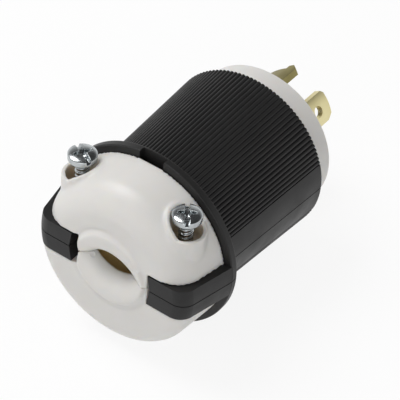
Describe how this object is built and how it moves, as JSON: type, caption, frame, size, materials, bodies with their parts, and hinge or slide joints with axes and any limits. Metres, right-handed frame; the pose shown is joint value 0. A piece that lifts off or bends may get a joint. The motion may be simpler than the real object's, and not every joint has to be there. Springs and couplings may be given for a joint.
{
  "type": "locking power plug",
  "caption": "Locking power plug with a ribbed black nylon shell, a white cord clamp loosened on its steel screws, and curved brass blades.",
  "frame": {"origin": "centre of the flat mating face, on the plug's own axis", "axes": "+X along the plug from the cord end towards the blades, +Z the way the clamp screws' heads point, +Y across, in the plane where the two shell halves meet"},
  "size_m": [0.0792, 0.048, 0.048],
  "materials": {
    "black_nylon": "satin moulded nylon",
    "white_nylon": "satin moulded nylon",
    "zinc_steel": "bright zinc plate",
    "brass": "plain stamped brass"
  },
  "bodies": {
    "plug": {"upper_housing": "black_nylon", "lower_housing": "black_nylon", "lower_clamp_jaw": "white_nylon", "clamp_screw_left": "zinc_steel", "clamp_screw_right": "zinc_steel", "front_body": "white_nylon", "terminal_carrier": "black_nylon", "carrier_screw": "zinc_steel", "ground_blade": "brass", "line_blade_x": "brass", "neutral_blade": "brass", "line_blade_y": "brass", "clamp_plate_ground": "brass", "clamp_plate_line_x": "brass", "clamp_plate_neutral": "brass", "clamp_plate_line_y": "brass", "terminal_screw_ground": "zinc_steel", "terminal_screw_line_x": "zinc_steel", "terminal_screw_neutral": "zinc_steel", "terminal_screw_line_y": "zinc_steel", "assembly_screw_1": "zinc_steel", "assembly_screw_2": "zinc_steel", "assembly_screw_3": "zinc_steel", "assembly_screw_4": "zinc_steel"},
    "clamp_jaw": {"upper_clamp_jaw": "white_nylon"}
  },
  "joints": [
    {"name": "upper_jaw_lift", "type": "slide", "parent": "plug", "child": "clamp_jaw", "axis": [0, 0, 1], "range_m": [0, 0.005]}
  ]
}
